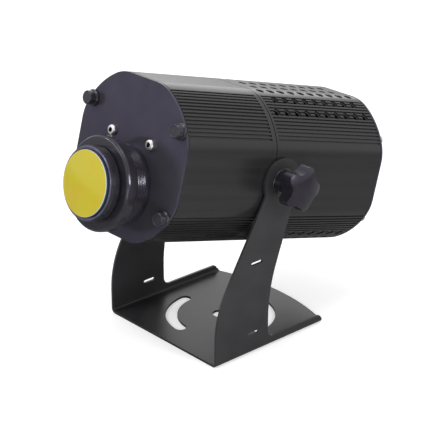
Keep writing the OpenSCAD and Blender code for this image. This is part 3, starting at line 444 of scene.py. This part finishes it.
FINISHES = {
    "black_powder": powder_coat(), "black_anodised": anodised_extrusion(), "black_cover": anodised_plate(),
    "black_turned": turned_black(), "bright_ring": bright_turned(), "black_plastic": moulded_nylon(),
    "zinc_steel": zinc_plate(), "black_rubber": sheet_rubber(), "amber_glass": yellow_glass(),
    "clear_glass": clear_glass(), "rippled_glass": ripple_cast_glass(), "steel_plate": galvanised_sheet(),
    "brass_part": turned_brass(), "acetal": machined_acetal(), "motor_can": pressed_can(),
    "plain_aluminium": mill_aluminium(), "led_ceramic": led_board(), "black_steel": black_zinc(),
}
SLOT_OF = {part["node"]: part["material_slot"] for part in frame["record"]["subparts"]}

for name, solid in frame["nodes"].items():
    for place in solid.material_slots:
        place.material = FINISHES[SLOT_OF[name]]


# Shapes

def stands_for(piece, node):
    """Gives a piece the body, the finish and the place of a solid."""
    piece.data.materials.clear()
    piece.data.materials.append(FINISHES[SLOT_OF[node]])
    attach(piece, frame["nodes"][node]["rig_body"])
    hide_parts(node)
    return piece


def take(piece):
    """Selects one piece alone."""
    bpy.ops.object.select_all(action="DESELECT")
    piece.select_set(True)
    bpy.context.view_layer.objects.active = piece


def rounded(piece, width, segments=2, angle=35, smooth=50):
    """Rounds over a piece's sharp edges by width mm and shades it smooth up to them."""
    take(piece)
    bevel = piece.modifiers.new("edges", "BEVEL")
    bevel.width = width / 1000
    bevel.segments = segments
    bevel.limit_method = "ANGLE"
    bevel.angle_limit = math.radians(angle)
    bpy.ops.object.modifier_apply(modifier=bevel.name)
    bpy.ops.object.shade_smooth_by_angle(angle=math.radians(smooth))
    evened = piece.modifiers.new("evened", "WEIGHTED_NORMAL")
    evened.keep_sharp = True
    bpy.ops.object.modifier_apply(modifier=evened.name)
    return piece


def merged(node):
    """A copy of a solid's loose triangles, merged into one skin with flat faces whole."""
    piece = bpy.data.objects.new(node + "_finished", frame["nodes"][node].data.copy())
    bpy.context.collection.objects.link(piece)
    take(piece)
    bpy.ops.object.mode_set(mode="EDIT")
    bpy.ops.mesh.select_all(action="SELECT")
    bpy.ops.mesh.remove_doubles(threshold=2e-6)
    bpy.ops.mesh.dissolve_limited(angle_limit=math.radians(0.5))
    bpy.ops.object.mode_set(mode="OBJECT")
    return piece


def softened(node, width, segments=2, angle=35, smooth=50):
    """A copy of a solid with its edges rounded over, as deburring, moulding or paint leaves them."""
    return stands_for(rounded(merged(node), width, segments, angle, smooth), node)


def turned(name, profile, centre, hollow=True, sides=144):
    """Turns a piece about an axis along the lamp. The profile gives radius and distance in front of the
    front cover, in mm; centre gives the axis's point at a distance."""
    radius, reach = profile[0]
    bpy.ops.object.select_all(action="DESELECT")
    bpy.ops.mesh.primitive_circle_add(vertices=sides, radius=radius / 1000, location=centre(reach),
                                      rotation=ALONG)
    piece = bpy.context.object
    piece.name = name
    bpy.ops.object.mode_set(mode="EDIT")
    bpy.ops.mesh.select_all(action="SELECT")
    for next_radius, next_reach in profile[1:]:
        ahead = FORWARD * (next_reach - reach) / 1000
        bpy.ops.mesh.extrude_edges_move(TRANSFORM_OT_translate={"value": ahead})
        grow = next_radius / radius
        bpy.ops.transform.resize(value=(grow, grow, grow), center_override=centre(next_reach))
        radius, reach = next_radius, next_reach
    bpy.ops.mesh.select_mode(type="EDGE")
    bpy.ops.mesh.select_all(action="DESELECT")
    bpy.ops.mesh.select_non_manifold()
    if hollow:
        bpy.ops.mesh.bridge_edge_loops()
    else:
        bpy.ops.mesh.fill_holes(sides=0)
    bpy.ops.mesh.select_all(action="SELECT")
    bpy.ops.mesh.normals_make_consistent(inside=False)
    bpy.ops.mesh.select_mode(type="VERT")
    bpy.ops.object.mode_set(mode="OBJECT")
    bpy.ops.object.transform_apply(location=True, rotation=True, scale=True)
    return piece


softened("bracket", 0.5)
softened("front_cover", 0.6)
softened("rear_cover", 0.6)
softened("joint_ring", 0.7, smooth=25)
softened("knob_washers", 0.5, segments=3)
softened("side_knob_right", 1.3, segments=3, angle=25)
softened("side_knob_left", 1.3, segments=3, angle=25)
softened("rear_cover_screws", 0.7, segments=3)
softened("cable_gland", 0.4)
softened("front_tube", 0.2, segments=1, angle=50, smooth=25)


def countersunk(piece, depth):
    """Chamfers the outer rims of the vents that lie on the smooth crown and keel."""
    take(piece)
    mesh = piece.data
    where = [(v.co - PIVOT) * 1000 for v in mesh.vertices]
    # the vents' walls face sideways; each edge counts the walls that it bounds
    walls = {}
    for face in mesh.polygons:
        if abs(face.normal.dot(UP)) < 0.35:
            for key in face.edge_keys:
                walls[key] = walls.get(key, 0) + 1
    bpy.ops.object.mode_set(mode="EDIT")
    bpy.ops.mesh.select_mode(type="EDGE")
    bpy.ops.mesh.select_all(action="DESELECT")
    bpy.ops.object.mode_set(mode="OBJECT")
    for edge in mesh.edges:
        ends = [where[i] for i in edge.vertices]
        on_crown = all(abs(e.x) < CROWN_HALF and math.hypot(e.x, e.dot(UP)) > CROWN_R for e in ends)
        among_vents = all(FIRST_VENT < -e.dot(FORWARD) < LAST_VENT for e in ends)
        # a rim bounds one wall, and an edge down a vent bounds two
        edge.select = walls.get(edge.key, 0) == 1 and on_crown and among_vents
    bpy.ops.object.mode_set(mode="EDIT")
    bpy.ops.mesh.bevel(offset=depth / 1000, segments=2, profile=0.5)
    bpy.ops.mesh.select_mode(type="VERT")
    bpy.ops.object.mode_set(mode="OBJECT")
    return piece


vented = countersunk(merged("rear_tube"), 0.9)
stands_for(rounded(vented, 0.2, segments=1, angle=60, smooth=25), "rear_tube")


# Screws on the front cover

def screw_axis(h):
    """A point on the lamp's axis, h mm in front of the cover, where a screw is made before it is copied."""
    return lamp(0, COVER_FACE - h, 0)


def ribbed(piece, radius, reach, depth, every):
    """Presses every second or third line of a thumb screw's flank in by depth mm, for a grip. The flank's
    middle is reach mm in front of the cover."""
    take(piece)
    axis = screw_axis(reach)
    turn = math.tau / THUMB_SIDES
    for vertex in piece.data.vertices:
        out = (vertex.co - axis) * 1000
        ahead = out.dot(FORWARD)
        flat = out - FORWARD * ahead
        line = round(math.atan2(flat.dot(UP), flat.x) / turn)
        vertex.select = abs(flat.length - radius) < 0.1 and abs(ahead) < 4.6 and line % every == 0
    bpy.ops.object.mode_set(mode="EDIT")
    shrink = 1 - depth / radius
    bpy.ops.transform.resize(value=(shrink, shrink, shrink), center_override=axis)
    bpy.ops.object.mode_set(mode="OBJECT")


def copied(piece, name, foot):
    """A copy of a screw with its own mesh, its axis meeting the cover's face at foot."""
    twin = piece.copy()
    twin.data = piece.data.copy()
    twin.name = name
    bpy.context.collection.objects.link(twin)
    take(twin)
    bpy.ops.transform.translate(value=foot - screw_axis(0))
    bpy.ops.object.transform_apply(location=True, rotation=True, scale=True)
    return twin


def partly(piece, finish, feet, near, far, low, high):
    """Gives a second finish to the faces near to far mm from a screw's axis and low to high mm in front of
    the cover; feet are the points where the screws' axes meet the cover's face."""
    piece.data.materials.append(FINISHES[finish])
    for foot in feet:
        for face in piece.data.polygons:
            out = (face.center - foot) * 1000
            ahead = out.dot(FORWARD)
            if near < (out - FORWARD * ahead).length < far and low < ahead < high:
                face.material_index = 1


def thumb_screws():
    """A turned thumb screw with a ribbed flange and a finer ribbed grip, copied to the four corners."""
    thumb = turned("thumb_screw", [
        (3, -18), (3, 0), (11, 0), (11, 2.7), (10.2, 3.5), (9, 3.5), (9, 11.4), (8.2, 12.2), (7.2, 12.2),
        (6.8, 11.8)], screw_axis, hollow=False, sides=THUMB_SIDES)
    ribbed(thumb, radius=11, reach=1.35, depth=0.7, every=3)
    ribbed(thumb, radius=9, reach=7.45, depth=0.35, every=2)
    rounded(thumb, 0.25, angle=65)
    for corner in ("top_right", "top_left", "low_right", "low_left"):
        foot = Vector(JOINTS[corner + "_thumb_turn"]["pos_m"])
        screw = stands_for(copied(thumb, "thumb_" + corner, foot), "thumb_screw_" + corner)
        # bright zinc steel on the flange's rim: a painted highlight along the rim
        partly(screw, "zinc_steel", [foot], near=10.1, far=11.1, low=2.6, high=3.55)
    bpy.data.objects.remove(thumb)


def domed_screws():
    """A screw with a hexagon socket in its domed head, made once, copied to both sides and joined."""
    domed = turned("domed_screw", [
        (3, -17), (3, 0), (6.3, 0), (6.3, 2.6), (6.1, 3.3), (5.6, 3.9), (4.8, 4.3), (3.9, 4.5)],
        screw_axis, hollow=False, sides=72)
    rounded(domed, 0.15, angle=60)
    # the socket reaches down to 0.35 mm in front of the cover
    bpy.ops.object.select_all(action="DESELECT")
    bpy.ops.mesh.primitive_cylinder_add(vertices=6, radius=0.0032, depth=0.0085, location=screw_axis(4.6),
                                        rotation=ALONG)
    hexagon = bpy.context.object
    take(domed)
    cut = domed.modifiers.new("socket", "BOOLEAN")
    cut.object = hexagon
    cut.solver = "EXACT"
    bpy.ops.object.modifier_apply(modifier=cut.name)
    bpy.data.objects.remove(hexagon)
    feet = [lamp(side * DOMED_X, COVER_FACE, DOMED_W) for side in (-1, 1)]
    pair = copied(domed, "domed_screws", feet[0])
    right_screw = copied(domed, "domed_screw_right", feet[1])
    bpy.data.objects.remove(domed)
    take(pair)
    right_screw.select_set(True)
    bpy.ops.object.join()
    stands_for(pair, "drive_plate_screws")
    # the sockets are given black zinc steel: painted shade in the recesses
    partly(pair, "black_steel", feet, near=-1, far=3.3, low=0.1, high=4.4)


thumb_screws()
domed_screws()


# The lens, turned piece by piece from the front cover outwards

def lens_mount():
    """The tube that carries the lens, with a finely grooved grip."""
    grooves = [(GRIP_R - 0.4 * (i % 2), 5.4 + 1.2 * i) for i in range(13)]
    mount = turned("lens_mount_turned", [
        (BORE_R, -11), (TUBE_R, -11), (TUBE_R, 0), (GRIP_R, 0), (GRIP_R, 3)] + grooves + [
        (GRIP_R, 21), (46.8, 22.8), (46.8, 25.5), (TUBE_R, 25.5), (TUBE_R, 36), (BORE_R, 36)], lens)
    stands_for(rounded(mount, 0.2), "lens_mount")


def focus_ring():
    """The broad ring that turns on the mount and covers its end, with a rounded front edge."""
    inner = TUBE_R + RING_GAP
    ring = turned("focus_ring_turned", [
        (inner, 26), (54.7, 26), (55.5, 27), (55.5, 36), (54.9, 38.2), (53.7, 39.5), (52.9, 40), (BORE_R, 40),
        (BORE_R, 36.3), (inner, 36.3)], lens)
    stands_for(rounded(ring, 0.2, angle=8, smooth=14), "focus_ring")


def lens_ring():
    """The bright ring that holds the front glass."""
    ring = turned("lens_ring_turned", [
        (38.6, 51.1), (41, 51.1), (41, 52.3), (42.5, 52.3), (42.5, 54.1), (40, 54.1), (40, 52.6),
        (38.6, 52.6)], lens)
    stands_for(rounded(ring, 0.2, segments=3), "lens_ring")


def front_glass():
    """The front glass, with a ground chamfer and a slightly domed face."""
    rim_depth = math.sqrt(DOME_R ** 2 - GLASS_R ** 2)
    dome = [(r, GLASS_FACE + math.sqrt(DOME_R ** 2 - r * r) - rim_depth) for r in (38, 36, 30, 22, 14, 7, 2)]
    glass = turned("front_lens_ground", [
        (20, 44.1), (39.7, 44.1), (39.7, 51.05), (GLASS_R, 51.05), (GLASS_R, 57.2)] + dome,
        lens, hollow=False)
    stands_for(rounded(glass, 0.2, segments=3), "front_lens")


lens_mount()
focus_ring()
lens_ring()
front_glass()


# The room: a pale floor that runs out to white, and six soft lamps

def seen(tree_owner, gloss):
    """1 where the camera or a glass looks, gloss where a gloss looks, and 0 where light only falls."""
    path = add(tree_owner, "ShaderNodeLightPath")
    shown = add(tree_owner, "ShaderNodeMath", {0: path.outputs["Is Glossy Ray"], 1: gloss},
                operation="MULTIPLY")
    either = add(tree_owner, "ShaderNodeMath", {0: path.outputs["Is Camera Ray"], 1: shown.outputs[0]},
                 operation="MAXIMUM")
    return add(tree_owner, "ShaderNodeMath", {0: either.outputs[0], 1: path.outputs["Is Transmission Ray"]},
               operation="MAXIMUM").outputs[0]


def white_room():
    """A world that is white where it is seen, a little less so in glosses, and lights at 0.58."""
    world = bpy.data.worlds.new("white_room")
    bpy.context.scene.world = world
    world.use_nodes = True
    sky = world.node_tree.nodes["Background"]
    level = add(world, "ShaderNodeMapRange", {"Value": seen(world, 0.8), "To Min": 0.58, "To Max": 1.0})
    sky.inputs["Color"].default_value = (1, 1, 1, 1)
    world.node_tree.links.new(level.outputs["Result"], sky.inputs["Strength"])


def paper_floor():
    """A matt white paper floor just below the base, greyer in glosses, that glows where the camera looks, so
    that it runs out to white and keeps the object's shadow."""
    bpy.ops.object.select_all(action="DESELECT")
    bpy.ops.mesh.primitive_plane_add(size=12, location=(0, 0, -0.0005))
    floor = bpy.context.object
    floor.name = "floor"
    paper = bpy.data.materials.new("white_paper")
    paper.use_nodes = True
    matt = paper.node_tree.nodes["Principled BSDF"]
    matt.inputs["Roughness"].default_value = 0.9
    matt.inputs["Specular IOR Level"].default_value = 0.0
    path = add(paper, "ShaderNodeLightPath")
    tone = add(paper, "ShaderNodeMix", {"Factor": path.outputs["Is Glossy Ray"], FIRST: linear("#e4e4e4"),
                                        SECOND: linear("#a4a4a4")}, data_type="RGBA")
    paper.node_tree.links.new(tone.outputs[MIXED], matt.inputs["Base Color"])
    glow = add(paper, "ShaderNodeMapRange", {"Value": seen(paper, 0), "To Min": 0.0, "To Max": 0.45})
    matt.inputs["Emission Color"].default_value = (1, 1, 1, 1)
    paper.node_tree.links.new(glow.outputs["Result"], matt.inputs["Emission Strength"])
    floor.data.materials.append(paper)


def soft_lamp(name, place, aim, size, power, tall=1):
    """A soft lamp of size metres and power watts that points at aim, tall times as high as it is wide."""
    bpy.ops.object.light_add(type="AREA", location=place)
    lamp_head = bpy.context.object
    lamp_head.name = name
    lamp_head.data.shape = "RECTANGLE"
    lamp_head.data.size = size
    lamp_head.data.size_y = size * tall
    lamp_head.data.energy = power
    lamp_head.rotation_euler = (Vector(aim) - Vector(place)).to_track_quat("-Z", "Y").to_euler()


white_room()
paper_floor()
soft_lamp("top_lamp", (0.1, 0.1, 1.8), aim=(0, 0, 0.15), size=0.8, power=12)
soft_lamp("key_lamp", (-0.9, -1.5, 1.5), aim=(0, 0, 0.15), size=1.0, power=12)
# narrow and tall, for the thin bright lines on the lens mount
soft_lamp("side_lamp", (1.3, 0.12, 0.74), aim=(0, -0.1, 0.2), size=0.15, power=5.5, tall=3)
soft_lamp("low_lamp", (1.0, -0.7, 0.2), aim=(0, 0, 0.12), size=0.5, power=4)
soft_lamp("left_lamp", (-1.5, -1.03, 1.63), aim=(0, 0, 0.2), size=0.3, power=3)
soft_lamp("back_lamp", (-1.3, 1.5, 0.75), aim=(0, 0, 0.25), size=1.0, power=3)

bpy.context.scene.view_settings.view_transform = "Standard"
